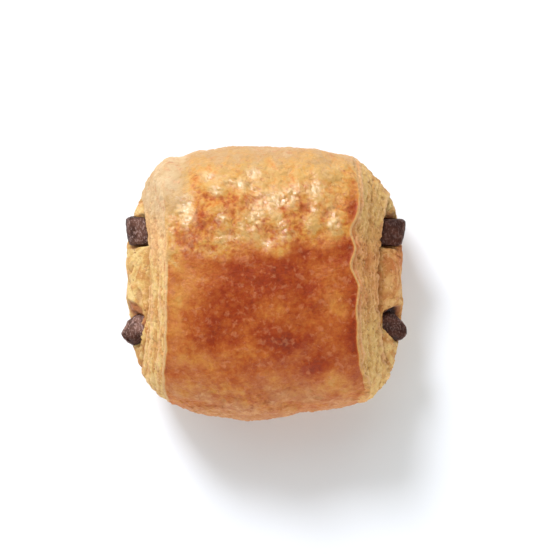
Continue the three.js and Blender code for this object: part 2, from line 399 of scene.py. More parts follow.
# Patches of the panel that baked darker (or, below 0, lighter): x, y, reach along x, along y, amount.
BROWNING = (
    (-20.5, 21, 4.5, 8.5, -0.5), (-14.6, 21.6, 1.7, 2.6, 0.2), (-12.3, 13, 3.8, 2.6, 0.3),
    (-17.5, 22, 1.6, 2, -0.1), (-16.6, 9.6, 2.6, 2, 0.18), (-19.2, 13.6, 1.3, 1.6, 0.2),
    (-6.4, 16.4, 2.8, 2.2, 0.08), (-9, 17.6, 3.4, 1.4, 0.1), (-14.5, 8.8, 2.8, 2.4, 0.26),
    (-12.3, 17.5, 2.6, 2.2, 0.09), (-3, 17.5, 2.6, 2.6, 0.05), (12, 10.7, 2.6, 2.2, -0.1),
    (-3, -5.8, 4, 2.6, 0.07), (-6.3, 23.4, 3, 1.6, -0.1), (-2.2, 22.6, 2.6, 1.6, -0.12),
    (5.6, 22.6, 2.4, 1.8, -0.16), (9.5, 6.6, 3.4, 2.4, 0.06), (4, 10.5, 4, 2, 0.08),
    (-15, 0.5, 4.5, 5, -0.16), (-4.5, 1, 4.5, 3.6, 0.12), (3.5, 2, 4, 3.6, 0.1), (-10.5, -9.5, 4, 4, 0.06),
    (4.2, -12.4, 4.2, 2.6, 0.17), (11, -17.8, 2.6, 3.2, 0.14), (7.5, -15.5, 2.5, 2, -0.08),
    (1, -6.4, 5.5, 1.8, -0.1), (-13.5, -17, 5, 3.2, -0.18), (-1, -23.6, 4.5, 2.4, 0.08),
    (0, -19.5, 6, 2.4, -0.08), (-5, -14.5, 5, 1.8, -0.1), (-18.6, -7.5, 2.6, 9, -0.24),
    (13, 3, 4, 3, -0.05), (15.4, -4, 2.2, 5.5, -0.15), (15.6, -20.5, 3, 2.6, -0.2),
    (19.2, 16, 1.5, 4.5, 0.26), (18.2, 9.5, 1.2, 3.5, 0.14), (19.3, -8, 0.9, 11, 0.1),
)

GLAZED, MATT = 0.47, 0.72  # how brown the skin is behind the glaze's line and in front of it
LOW_SIDE, HIGH_SIDE = 0.62, 0.4  # and on its sides, at the foot and higher up
PALEST_GLAZED, DARKEST_GLAZED = 0.33, 0.67


def glaze_line(points):
    """How far behind the wavering line on top, where the glaze turns matt and brown, each point is."""
    x, y, _ = np.moveaxis(points, -1, 0)
    return y - 5.2 - 0.11 * (x + 17) + 2.2 * noise(points, 7, 31, 2)


def mottling(points):
    """Irregular light and dark patches of the glaze."""
    x, y, z = np.moveaxis(points, -1, 0)
    turned = np.stack([0.9 * x + 0.45 * y, 0.27 * x - 0.55 * y, 0.55 * z], -1)
    return noise(turned, 3.2, 34, 3)


def pale_back(points):
    """How far the skin has paled towards the back, along streaks that run over the top."""
    return smoothstep(17.5, 30.5, points[..., 1] + 3.4 * noise(points * (1, 0.4, 0.4), 2.8, 30, 3))


def browning(points):
    """How brown the skin is baked, from 0 for pale to 1 for the darkest brown."""
    x, y, z = np.moveaxis(points, -1, 0)
    pucker = puckering(points)
    brown = lerp(GLAZED, MATT, smoothstep(2, -2, glaze_line(points)))
    brown = brown - 0.16 * smoothstep(-18, -24, y) - 0.28 * pale_back(points)
    for *place, amount in BROWNING:
        brown = brown + amount * patch(x, y, *place) * smoothstep(14, 22, z)
    brown = brown + lerp(0.045, 0.15, pucker) * mottling(points)
    brown = brown + 0.07 * smoothstep(-18, -23, y) * noise(points, 1.7, 49, 3)
    sides = lerp(LOW_SIDE, HIGH_SIDE, smoothstep(0.5, 9, z)) + 0.08 * noise(points, 3.6, 33, 3)
    brown = lerp(sides, brown, smoothstep(5, 20, z)) + 0.04 * noise(points, 4.6, 32, 2)
    clusters, _ = blistering(points)
    # Paler skin and painted highlight on blister clusters; painted shade in lump hollows, light on tops.
    brown = brown - pucker * (0.08 * smoothstep(0.4, 1, clusters) + 0.3 * lump_shape(points))
    return np.clip(brown, PALEST_GLAZED * pucker, lerp(1, DARKEST_GLAZED, pucker))


# Clusters of small wet-looking blisters in the glaze: x, y, reach along x, along y, strength.
BLISTERS = (
    (-16.2, 15.2, 1.9, 3.4, 1.4), (-11.8, 22.7, 1.3, 1.1, 1.2), (-10.1, 19.3, 1.3, 1.2, 1),
    (-2, 23.6, 1.4, 1.3, 1.1), (-6.9, 21.4, 1.2, 1, 0.7), (-8.6, 13.8, 1.4, 1.3, 0.8),
    (-1.6, 14.8, 1.9, 4.6, 1), (2.9, 17.6, 2.1, 2.5, 1), (-4.3, 20.8, 1.4, 1.3, 1),
    (6.5, 18.6, 1.1, 2.7, 0.9), (11.2, 19.7, 1.8, 2.1, 1), (10.6, 15.9, 1.1, 1, 0.7),
    (15, 12.9, 1.4, 2.8, 0.9), (4, 10.8, 1.6, 1.3, 0.9), (-13.4, 6.6, 3, 1.2, 0.4),
    (-7, 9.4, 3.2, 1.4, 0.8), (1.8, 8.6, 4, 1, 0.6), (-12.6, 17.2, 2.4, 2.6, -0.5),
    (18.6, 14, 1.6, 7.5, -0.9),
)

# How steeply a blister's shiny side rises along x and along y: it leans to the lights at the back left.
SHINY_SLOPES = (0.157, -0.367)


def top_slopes(x, y):
    """How steeply the roll's even top rises along x and along y."""
    off = x - CROWN_TAPER["middle"]
    power = CROWN_TAPER["power"]
    fall = CROWN_TAPER["left"] * power / TAPER_AT * (abs(off) / TAPER_AT) ** (power - 1)
    across = abs(y) / HALF_WIDTH
    curve = across ** (TOP_POWER - 1) * (1 - across**TOP_POWER) ** (1 / TOP_POWER - 1)
    return -math.copysign(fall, off), -math.copysign((HEIGHT - GIRTH_HEIGHT) / HALF_WIDTH * curve, y)


def blistering(points):
    """Where the blisters are, from 0 to about 1, and how high the skin bulges to lean to the light."""
    x, y, _ = np.moveaxis(points, -1, 0)
    total = 0.04 + 0.34 * patchy(points, 0.1, 0.6, 3, 45)
    bulge = np.zeros_like(x)
    for at_x, at_y, reach_x, reach_y, strength in BLISTERS:
        near = strength * patch(x, y, at_x, at_y, reach_x, reach_y)
        slope_x, slope_y = np.subtract(SHINY_SLOPES, top_slopes(at_x, at_y))
        total = total + near
        bulge = bulge + near * (slope_x * (x - at_x) + slope_y * (y - at_y))
    return np.clip(total, 0, 1.1), bulge


def puckering(points):
    """Where the glazed skin is blistered, from 0 for smooth to 1."""
    x, y, _ = np.moveaxis(points, -1, 0)
    pale_corner = patch(x, y, -20.5, 22, 4, 6)
    right_streak = patch(x, y, 20, 13, 2.2, 9, 4)
    blistered = smoothstep(-2.5, 2.5, glaze_line(points)) * smoothstep(29, 23, y)
    return blistered * (1 - pale_corner) * (1 - right_streak)


def bead_shape(points):
    """The small round beads of the blistered glaze, from 0 between them to about 1 on top."""
    return np.abs(noise(points, 1.3, 44, 2))


def lump_shape(points):
    """The height of the lumps of the blistered glaze, in millimetres."""
    return 0.4 * noise(points, 3.4, 42, 3)


def skin_relief(points):
    """The height of the skin's blisters and wrinkles over its even form, in millimetres."""
    _, y, z = np.moveaxis(points, -1, 0)
    pucker = puckering(points)
    clusters, bulge = blistering(points)
    folds = 0.34 * noise(points, 8, 41, 2)
    lumps = lump_shape(points) - 0.1 * mottling(points)
    beads = (0.1 + 0.42 * clusters) * (bead_shape(points) - 0.2)
    pits = 0.2 * noise(points, 1.5, 46, 2) - 0.3 * patchy(points, 0.3, 0.6, 2, 47, 2)
    creases = smoothstep(0.25, 0, np.abs(noise(points * (1, 0.3, 0.3), 2.4, 48, 2))) * smoothstep(23, 27, y)
    relief = folds + lerp(0.3, 1, pucker) * lumps + pucker * (beads + bulge)
    relief = relief + smoothstep(-19, -24, y) * pits - 0.12 * creases
    return relief * smoothstep(0.2, 5, z)


def on_skin(x, drop=0):
    """Points of the skin's even form at x, sunk by drop."""
    y, z = section(ANGLES, {key: reach - drop for key, reach in panel_reaches(x).items()})
    grown = swell(x, ANGLES)
    return np.stack(np.broadcast_arrays(x, y * grown, z * grown), -1)


EDGE_TUCK = 0.7  # how far inside its edges the skin's grid stops, where the lips take over


def panel_grid():
    """The rings of the skin between its two edges."""
    way = np.linspace(0, 1, PANEL_STEPS)[:, None]
    left = -LEFT.panel - edge_wander(LEFT) + EDGE_TUCK
    right = RIGHT.panel + edge_wander(RIGHT) - EDGE_TUCK
    points = on_skin(lerp(left, right, way))
    points = points + grid_normals(points) * skin_relief(points)[..., None]
    points[..., 2] = np.maximum(points[..., 2], 0)
    return points


# ---- the cut ends of the wraps

COVER_HIDES = 0.8  # how much of the leaves' relief the pale skin hides where it covers them
UNCUT = 0.85  # and how much less cut the dough looks there


def layer_share(end, layer):
    """The way from the panel's edge to the coil at a layer number, with the leaves' uneven thickness."""
    seam, _ = seam_at(ANGLES)
    outer = seam * layer / WRAP_LAYERS
    inner = seam + (1 - seam) * (layer / WRAP_LAYERS - 1)
    share = np.where(layer < WRAP_LAYERS, outer, inner)
    held = np.sin(np.pi * np.clip(layer / (2 * WRAP_LAYERS), 0, 1)) ** 0.5
    around = ring_points(layer * 0.05, end.seed)
    return np.clip(share + 0.02 * held * noise(around, 5.5, 51, 2), 0, 1)


def wrap_section(end, share, drop=0):
    """The y and z of the cut end at a share of the way from the skin to the coil."""
    at = np.float64(end.side * end.panel)
    rim = {key: reach - drop for key, reach in panel_reaches(at).items()}
    reaches = mix_reaches(rim, end.coil, share)
    for key, far in end.bulge.items():
        reaches[key] = reaches[key] + far * np.sin(np.pi * share)
    y, z = section(ANGLES, reaches, foot=1.1 * (1 + share))
    grown = lerp(swell(at, ANGLES), 1, share)
    return y * grown, z * grown


def toasting(end, points):
    """How brown the cut end is baked: most between the sticks, and less to the front and the back."""
    y = points[..., 1]
    even = end.toast * smoothstep(-24, 2, y) * (1 - 0.8 * smoothstep(10, 17, y))
    return even + end.blush * bell(y, 2, 8, 4)


def back_corner(start, full, y, z):
    """From 0 to 1 towards the upper back corner of an end."""
    return smoothstep(start, full, y + 0.35 * z - 9) * smoothstep(8, 14, z)


def covering(end, y, z):
    """How far the pale skin still covers the cut end, on its back corner."""
    return end.covered * back_corner(10.5, 17.5, y, z)


def wrap_hollows(end, layer):
    """How far each point lies in a groove, a tear or a void of the leaves, each from 0 to 1."""
    number, nearest = np.floor(layer), np.round(layer)
    from_groove = np.abs(layer - nearest)
    groove = bell(from_groove, 0, 0.1) * np.where(nearest % 2 == 0, 1, 0.45)
    groove = groove * patchy(ring_points(nearest, 5), -0.35, 0.35, 2.6, 55, 3)
    torn = patchy(ring_points(number, end.seed), 0.1, 0.6, 2.2, 52, 2) * smoothstep(0.45, 0.05, from_groove)
    voids = patchy(ring_points(number, end.seed + 7), 0.35, 0.7, 3.6, 60, 2) * np.sin(np.pi * (layer % 1))
    return groove, torn, voids


def wrap_grid(end):
    """The rings on the cut edges of the two wraps, leaf by leaf, and their attributes."""
    layer = [leaf + step for leaf in range(2 * WRAP_LAYERS) for step in LAYER_STEPS] + [2 * WRAP_LAYERS]
    layer = np.array(layer)[:, None]
    share = layer_share(end, layer)
    bare = 1 - COVER_HIDES * covering(end, *wrap_section(end, share))
    y, z = wrap_section(end, share, 0.4 * (1 - share) ** 2 * bare)
    cover = covering(end, y, z)
    bare = 1 - COVER_HIDES * cover
    rough = end.rough * bare
    upright = 0.2 + 0.8 * np.sin(ANGLES) ** 2
    leafy = lerp(1, end.leafy, smoothstep(12, 19, z))
    leaf, across = ring_points(np.floor(layer), end.seed), ring_points(layer * 0.02, end.seed)
    groove, torn, voids = wrap_hollows(end, layer)
    seam = bell(layer, WRAP_LAYERS, 0.3) * seam_at(ANGLES)[1]
    ridges = sum(bell(layer, at, 0.16) for at in end.ridges)
    ridges = ridges * patchy(ring_points(9, end.seed), -0.5, 0.2, 6, 74, 2)
    relief = (
        0.22 * noise(leaf, 8, 53)
        + 0.1 * np.sin(np.pi * (layer % 1))
        + rough * (0.1 * noise(leaf, 2.6, 54, 2) + 0.08 * noise(across, 1.1, 56, 2) + 0.4 * ridges)
        - rough * leafy * upright * (0.7 * voids + 0.42 * groove + 0.6 * torn)
        - SEAM_DEPTH * seam * upright * leafy * bare
        - 0.5 * upright * fallen((2 * WRAP_LAYERS - layer) / 0.5)
    )
    flared = flare_at(end, ANGLES) * share**FLARE_POWER
    out = end.panel + edge_wander(end) * (1 - share) ** 2 + flared + relief

    place = np.stack([out, y, z + 90 * end.seed], -1)
    holes = patchy(place, 0.2, 0.5, 1.3, 69, 2) * patchy(place, -0.4, 0.2, 4.5, 70)
    out = out + (0.25 + rough) * (0.26 * noise(place, 1.3, 68, 3) - 0.5 * holes)
    # Painted shade in the grooves, tears, voids, holes and seam, before the coil and under the lip.
    before_coil = bell(layer, 5.1, 0.2) * patchy(across, -0.4, 0.3, 5, 76, 2)
    under_lip = 0.6 * bell(layer, 0.3, 0.14) * end.rough
    depth = leafy * (0.5 * groove + 0.8 * rough * torn + 0.5 * voids + seam) + 0.8 * rough * holes
    depth = np.clip((depth + 0.5 * before_coil + under_lip) * (1 - 0.75 * cover), 0, 1)
    pale = 0.5 * end.covered * back_corner(2, 9, y, z)
    marks = dict(layer=layer + 0 * y, leafy=leafy, depth=depth, cut=1 - UNCUT * cover)
    marks["ridge"] = np.maximum(ridges, pale)
    return np.stack([end.side * out, y, z], -1), marks


def hidden_ring(end, ring, inward, size):
    """A copy of a ring that is drawn in and shrunk round its middle, to close a piece out of sight."""
    middle = ring.mean(0)
    moved = middle + (ring - middle) * size
    moved[:, 0] = ring[:, 0] - end.side * inward
    return moved


def close_behind(end, grid, marks, before, after=()):
    """Adds rings out of sight before and after a grid: how far in each is drawn, and its size."""
    first = [hidden_ring(end, grid[0], *ring) for ring in before]
    last = [hidden_ring(end, grid[-1], *ring) for ring in after]
    marks = {
        key: np.concatenate([value[:1]] * len(before) + [value] + [value[-1:]] * len(after))
        for key, value in marks.items()
    }
    return np.concatenate([first, grid, last] if last else [first, grid]), marks


# The rings that close the wraps under the skin and under the coil: how far in, and their size; and
# how much painted shade those under the coil get.
UNDER_SKIN = ((3.2, 0.92), (2, 0.985))
UNDER_COIL = ((0.35, 0.985), (0.9, 0.978), (1.8, 0.975), (3.6, 0.97), (5, 0.9))
UNDER_COIL_SHADE = (0.3, 0.6, 1, 1, 1)


def make_wraps(end, name, material):
    """The cut ends of both wraps, as one closed piece that starts and ends out of sight."""
    grid, marks = close_behind(end, *wrap_grid(end), UNDER_SKIN, UNDER_COIL)
    marks["depth"][-len(UNDER_COIL) :] = np.array(UNDER_COIL_SHADE)[:, None]
    at_skin = smoothstep(0.2 * WRAP_LAYERS, 0, marks["layer"])
    toast = 0.2 * at_skin + toasting(end, grid) + 0.1 * noise(grid, 5, 57, 2)
    # Where the pale skin covers the end, the painted crevice shade browns it too.
    pale = 0.02 + 0.06 * noise(grid, 3, 75, 2) + 0.25 * marks["depth"]
    marks["brown"] = lerp(toast, pale, (1 - marks["cut"]) / UNCUT)
    return add_grid(name, grid, marks, end.side < 0, material)


# The skin's edge as it turns over: the way out, the way down, and how pale it is.
LIP = (
    (-0.5, 0, 0.05), (-0.26, 0, 0.5), (-0.04, 0.06, 0.85), (0.1, 0.2, 1), (0.1, 0.38, 1), (-0.1, 0.52, 1),
    (-0.5, 0.6, 1), (-1.4, 0.7, 1), (-3, 1.4, 1),
)


def lip_grid(end):
    """The rings where the skin turns over at its edge into a thin lip, and then in under itself."""
    wander = edge_wander(end)
    curl = end.rough * (0.1 + 0.22 * noise(ring_points(1, end.seed), 3.4, 58, 2))
    rings = []
    for out, drop, _ in LIP:
        x = end.side * (end.panel + wander + out + curl * (abs(out) < 0.2))
        ring = on_skin(x, drop)
        ring[:, 2] = np.maximum(ring[:, 2], drop)
        rings.append(ring)
    return np.array(rings)


def skin_glaze(grid, brown, pucker, clusters):
    """How much glaze pools on the skin: most on the blisters, and little where it is dark between."""
    pooled = 0.8 + 0.3 * noise(grid, 2.4, 59, 2)
    pooled = pooled * (1 - 0.8 * smoothstep(0.46, 0.6, brown) * pucker)
    return np.clip(lerp(0.08, lerp(0.06, 1, clusters), pucker) * pooled, 0, 1)


def skin_crust(grid):
    """Where the skin has a dry, crumbly crust: on the front, but not low on its side."""
    x, y, z = np.moveaxis(grid, -1, 0)
    crust = smoothstep(-19, -27, y + 0.1 * x) * smoothstep(-0.5, 0.5, noise(grid, 6, 77, 2) + 0.03 * x)
    return np.maximum(crust, smoothstep(-26.5, -29, y)) * smoothstep(5, 15, z)


def make_skin(material):
    """The browned skin of the outer wrap, as one closed piece."""
    skin = panel_grid()
    grid = np.concatenate([lip_grid(LEFT)[::-1], skin, lip_grid(RIGHT)])
    x, y, z = np.moveaxis(grid, -1, 0)
    paleness = [pale for _, _, pale in LIP]
    cut = np.concatenate([paleness[::-1], np.zeros(len(skin)), paleness])[:, None]
    cut = cut * (1 - 0.9 * covering(LEFT, y, z) * (x < 0)) * np.where(x < 0, 1, 0.75)
    brown, pucker = browning(grid), puckering(grid)
    clusters, _ = blistering(grid)
    marks = dict(
        brown=lerp(brown, np.where(x < 0, 0.1, 0.2), np.minimum(2.2 * cut, 1)),
        cut=0.85 * cut,
        glaze=skin_glaze(grid, brown, pucker, clusters) * (1 - cut),
        crust=skin_crust(grid),
        ridge=0.7 * cut,
        pucker=pucker,
        # blister tops painted pale: partly paler skin, partly a painted highlight
        pale_and_glinting_blister=pucker * clusters * smoothstep(0.12, 0.4, bead_shape(grid)),
    )
    return add_grid("pastry_skin", grid, marks, False, material)


# ---- the coil's ends

COIL_ROUND_STEPS = 300
COIL_RIM, COIL_SHOULDER, COIL_CORE = 0.985, 0.9, 0.02  # the sizes between which its rings are spread
RIM_STEPS, COIL_STEPS = 7, 46
COIL_SHRINK = dict(back=1, front=1, top=0.91, base=0.97)  # at the rim, to leave a step to the wraps

# Where the dough stands away from a stick: side, stick, offset in y and z, reach in y and z, depth,
# and how much shade is painted inside.
MOUTHS = (
    (-1, "chocolate_stick_back", -3.6, 1, 0.7, 1.2, 0.4, 0.35),
    (1, "chocolate_stick_back", 0.6, 0.6, 4.2, 4.2, 1, 0.62),
    (-1, "chocolate_stick_front", 4.2, -0.4, 3, 4.6, 1.1, 0.5),
    (-1, "chocolate_stick_front", 2.6, -0.6, 2, 4.8, 1.1, 0.5),
    (-1, "chocolate_stick_front", 8, 3.2, 2, 0.7, 0.35, 0.3),
    (-1, "chocolate_stick_front", -0.4, 3.5, 3.6, 0.7, 0.5, 0.8),
    (1, "chocolate_stick_front", 2.9, 0.4, 2.2, 3.6, 2.4, 1.3),
)
# Slits in the coil's upper edge: side, y and the share of the coil's size at each of its two ends.
SLITS = ((-1, (-5.6, 0.955), (-11.6, 0.885)),)
# Where the dough reaches out over a stick: side, stick, offset in y, reach in y, height, and the size of
# the coil's rings from which it does.
HOODS = (
    (-1, "chocolate_stick_front", -0.4, 5, 0.6, 0.93),
    (-1, "chocolate_stick_front", -1, 2.4, 0.9, 0.9),
    (1, "chocolate_stick_front", -2.9, 2.3, 1.1, 0.8),
)
# Where a stick lies bare: side, stick, half its width, how far out the dough starts, and its slope.
BARE = (
    (-1, "chocolate_stick_back", 3.3, 25.1, 0),
    (1, "chocolate_stick_back", 3.3, 25.1, 0),
    (1, "chocolate_stick_front", 3, 26.3, 1),
    (-1, "chocolate_stick_front", 3.6, 27.2, 0),
)


def stick_middle(stick, share):
    """The y and z of a stick's axis at share, from -1 at its left end to 1 at its right."""
    end = stick.left if share < 0 else stick.right
    bend = abs(share) ** 4
    return stick.y + end.drift * bend, stick.z - stick.sag * bend


def beside_sticks(rows, end):
    """The rows of a table that belong to an end, with the y and z of the stick's end for its name."""
    for side, name, *values in rows:
        if side == end.side:
            yield *stick_middle(STICKS[name], side), *values


def from_stick(stick, side, y, z):
    """The distance from a stick's side, in its section's plane."""
    at_y, at_z = stick_middle(stick, 0.95 * side)
    roll = math.radians(stick.roll)
    across = (y - at_y) * math.cos(roll) + (z - at_z) * math.sin(roll)
    up = (z - at_z) * math.cos(roll) - (y - at_y) * math.sin(roll)
    power = STICK_SQUARENESS
    return (np.abs(across) ** power + np.abs(up) ** power) ** (1 / power) - STICK_SIDE / 2


def coil_outline(end, size, angle):
    """The y and z of the coil's rings of each size, with the hoods that reach out over the sticks."""
    centre_y, centre_z = lerp(COIL_TIP[0], 0, size), lerp(COIL_TIP[1], GIRTH_HEIGHT, size)
    reaches = {key: reach * size * lerp(1, COIL_SHRINK[key], size**4) for key, reach in end.coil.items()}
    y, z = section(angle, reaches, centre_y, centre_z)
    for at_y, at_z, off_y, reach_y, height, least in beside_sticks(HOODS, end):
        over = bell(y - at_y, off_y, reach_y, 4) * smoothstep(at_z - 1, at_z + 2, z)
        z = z + height * over * smoothstep(least - 0.06, least + 0.02, size)
    return y, z


def wound_layers(flat, size, back, front):
    """The layer number of the leaves that wind round both sticks, which start at the sticks' sides."""
    near = np.maximum(-np.log(np.exp(-back / 1.5) + np.exp(-front / 1.5)) * 1.5, 0)
    wound = near / (near + (1 - size) * 9 + 0.4)
    return 6 * wound + 0.3 * noise(flat, 5, 61, 2)


def coil_leaves(end, flat, size, layer):
    """How far the coil's leaves stand out, and how much shade is painted in their grooves, tears and holes.
    """
    nearest = np.round(layer)
    from_groove = np.abs(layer - nearest)
    leaf, edge = (flat + 23 * number[..., None] * (1, 0, 0) for number in (np.floor(layer), nearest))
    groove = bell(from_groove, 0, 0.12) * patchy(edge, -0.6, 0.4, 4, 67)
    torn = patchy(leaf, 0.2, 0.6, 2.2, 62, 2) * smoothstep(0.4, 0.1, from_groove)
    holes = patchy(flat, 0.3, 0.6, 1.6, 71, 2) * patchy(flat, -0.1, 0.4, 4.5, 72)
    grain = 0.12 * (noise(leaf, 1.5, 64, 2) + noise(flat, 1.2, 73, 2))
    between_sticks = bell(flat[..., 1], 0.5, 3.2) * smoothstep(0.9, 0.3, size)
    relief = 0.22 * noise(leaf, 5, 63) - 0.5 * between_sticks
    relief = relief + end.rough * (grain - 0.32 * groove - 0.55 * torn - 0.35 * holes)
    return relief, 0.5 * groove + 0.6 * (torn + holes) * end.rough


def coil_slits(end, y, z, size):
    """The slits in the coil's upper edge, from 0 to 1."""
    total = np.zeros_like(y)
    for side, (from_y, from_size), (to_y, to_size) in SLITS:
        if side == end.side:
            way = (y - from_y) / (to_y - from_y)
            slit = bell(size, lerp(from_size, to_size, way), 0.018) * smoothstep(14, 16, z)
            total = total + slit * smoothstep(-0.1, 0.15, way) * smoothstep(1.1, 0.85, way)
    return total


def coil_mouths(end, flat):
    """How far the dough draws back in the hollows at the sticks, and how much shade is painted there."""
    _, y, z = np.moveaxis(flat, -1, 0)
    drawn, dark = np.zeros_like(y), np.zeros_like(y)
    for at_y, at_z, off_y, off_z, reach_y, reach_z, deep, darkness in beside_sticks(MOUTHS, end):
        away = np.hypot((y - at_y - off_y) / reach_y, (z - at_z - off_z) / reach_z)
        hollow = smoothstep(1.08, 0.55, away + 0.12 * noise(flat, 2.2, 65, 2))
        drawn = drawn + deep * hollow
        dark = np.maximum(dark, darkness * hollow)
    return drawn, dark


def coil_grid(end):
    """The bulging end of the coil, with leaves that wind round both sticks and hollow mouths."""
    rim = np.linspace(COIL_RIM, COIL_SHOULDER, RIM_STEPS, endpoint=False)
    size = np.concatenate([rim, np.linspace(COIL_SHOULDER, COIL_CORE, COIL_STEPS)])[:, None]
    angle = spread_angles(COIL_ROUND_STEPS)[None, :]
    y, z = coil_outline(end, size, angle)
    flat = np.stack([0 * y + 60 * end.seed, y, z], -1)
    back, front = (from_stick(stick, end.side, y, z) for stick in STICKS.values())
    layer = wound_layers(flat, size, back, front)
    relief, depth = coil_leaves(end, flat, size, layer)
    slit = coil_slits(end, y, z, size)
    drawn, dark = coil_mouths(end, flat)
    out = lerp(end.panel + flare_at(end, angle), end.tip, 1 - size**COIL_ROUNDNESS)
    out = out + relief - slit - drawn
    for at_y, at_z, half, start, slope in beside_sticks(BARE, end):
        bare = smoothstep(half + 0.5, half, np.abs(y - at_y)) * smoothstep(at_z + 0.5, at_z + 2, z)
        out = lerp(out, np.minimum(out, start + slope * np.maximum(at_y - y, 0)), bare)
    channel = smoothstep(0.15, -0.25, np.minimum(back, front))
    level = np.clip((COIL_RIM - size) / 0.06, 0, 1)
    out = out - 4 * channel - (0.7 + 0.9 * np.sin(angle) ** 2) * fallen(level)
    # Painted shade in the slits, where the rim falls away, and in the mouths and channels at the sticks.
    depth = np.clip(np.maximum(depth + 2.5 * slit, (1 - level) ** 2), 0, 1)
    marks = dict(layer=layer, depth=depth, mouth=np.clip(np.maximum(dark, 0.4 * channel), 0, 1))
    return np.stack([end.side * out, y, z], -1), marks


BEHIND_COIL = ((4.2, 0.9), (3, 1))  # the rings that close it out of sight: how far in, and their size


def make_coil(end, name, material):
    """The coil's end as a closed piece, whose back is out of sight in the wraps."""
    grid, marks = close_behind(end, *coil_grid(end), BEHIND_COIL)
    marks["brown"] = toasting(end, grid) + 0.1 * noise(grid, 4, 66, 2)
    marks["cut"] = marks["leafy"] = np.ones(grid.shape[:2])
    return add_grid(name, grid, marks, end.side < 0, material)


# ---- the chocolate sticks

STICK_ROUND_STEPS = 72
# How the sticks' ends are worn: how far back a ring lies, and its size.
STICK_WEAR = ((0, 0.5), (0.06, 0.72), (0.2, 0.86), (0.45, 0.94), (0.85, 0.985), (1.3, 1))


def stick_rings(stick):
    """The sizes and places of a stick's rings, as shares from -1 to 1, setbacks and sizes."""
    near_end = np.linspace(0.75, 1, 22)[:-1]
    shares = np.concatenate([-near_end[::-1], np.linspace(-0.7, 0.7, 12), near_end])
    left = [(-1, back, size) for back, size in STICK_WEAR]
    right = [(1, back, size) for back, size in reversed(STICK_WEAR)]
    return left + [(share, STICK_WEAR[-1][0] * abs(share) ** 40, 1) for share in shares] + right


def stick_grid(stick):
    """The rings of a stick, whose section turns into that of each of its ends."""
    angle = (np.arange(STICK_ROUND_STEPS) + 0.5) / STICK_ROUND_STEPS * TURN
    roll = math.radians(stick.roll)
    rings = []
    for share, back, size in stick_rings(stick):
        end = stick.left if share < 0 else stick.right
        at_y, at_z = stick_middle(stick, share)
        near_end = abs(share) ** 4
        half = STICK_SIDE / 2 * size * lerp(1, end.grow, near_end)
        power = 2 / lerp(STICK_SQUARENESS, end.square, near_end)
        across, up = (half * signed_power(way, power) for way in (np.cos(angle), np.sin(angle)))
        y = across * math.cos(roll) - up * math.sin(roll)
        z = across * math.sin(roll) + up * math.cos(roll)
        amount, at = end.point
        pointed = math.copysign(amount, share) * (np.hypot(y - at, 0.8) - 0.8)
        x = end.x * abs(share) - math.copysign(back * lerp(1, end.wear, abs(share) ** 6), share)
        x = x + near_end * (end.lean * y + end.slope * z - pointed)
        rings.append(np.stack([x, at_y + y, at_z + z], -1))
    return np.array(rings)


def rim_highlight(stick, points):
    """Where the rims of a stick's ends get a painted highlight, from 0 to 1."""
    sizes = np.array([size for _, _, size in stick_rings(stick)])
    return bell(sizes, 0.93, 0.05)[:, None] * patchy(points, -0.3, 0.4, 2, stick.seed + 2, 2)


def stick_bloom_and_sheen(stick, points, normals):
    """Where a stick is pale, partly with bloom and partly with painted sheen: on its left, and most on
    what faces up.
    """
    left = smoothstep(0, -20, points[..., 0])
    upper = smoothstep(0.2, 0.9, normals[..., 2])
    if stick.y > 0:
        upper = 0.6 * upper
    else:
        upper = 1.6 * upper * smoothstep(-1.6, 1.4, points[..., 1] - stick_middle(stick, -1)[0])
    return left * (0.15 + 0.85 * upper) + (1 - left) * 0.12 * upper


def make_stick(name, stick, material):
    """A stick of chocolate that runs the whole way through, with a rough surface."""
    points = stick_grid(stick)
    normals = grid_normals(points)
    rough = 0.19 * noise(points, 1.7, stick.seed, 3) + 0.08 * noise(points, 5, stick.seed + 1)
    points = points + normals * rough[..., None]
    # The bloom is partly painted sheen, and the edge is a painted highlight on the rims.
    marks = dict(bloom_and_sheen=stick_bloom_and_sheen(stick, points, normals), edge=rim_highlight(stick, points))
    return add_grid(name + "_bar", points, marks, False, material, name, "chocolate")


# ---- loose flakes and crumbs

FLAKE_SIDES = 9
FLAKE_RINGS = ((0.85, -0.5), (1, 0), (0.86, 0.42), (0.45, 0.55))  # the size and height of each
# Where flakes and crumbs sit: x, y, reach along x, along y, how many, the smallest and the largest size.
FLAKED = (
    (24.5, 18.5, 3, 5, 14, 0.4, 0.8),
    (28.2, 16, 1.2, 1.8, 14, 0.5, 1.2),
    (24.5, -19, 3.2, 6, 34, 0.4, 1.1),
    (-24.5, -20, 2.4, 6, 22, 0.4, 0.9),
    (-23.5, 2, 1.6, 14, 18, 0.4, 0.8),
    (24, 2, 2.4, 12, 24, 0.4, 0.9),
    (21.6, -4, 0.8, 8, 8, 0.4, 0.8),
)


def surface_of(piece):
    """The corners of a piece and their normals, in millimetres round the middle."""
    count = len(piece.data.vertices)
    place, normal = np.empty(count * 3), np.empty(count * 3)
    piece.data.vertices.foreach_get("co", place)
    piece.data.vertices.foreach_get("normal", normal)
    return place.reshape(-1, 3) / MM - MIDDLE, normal.reshape(-1, 3)


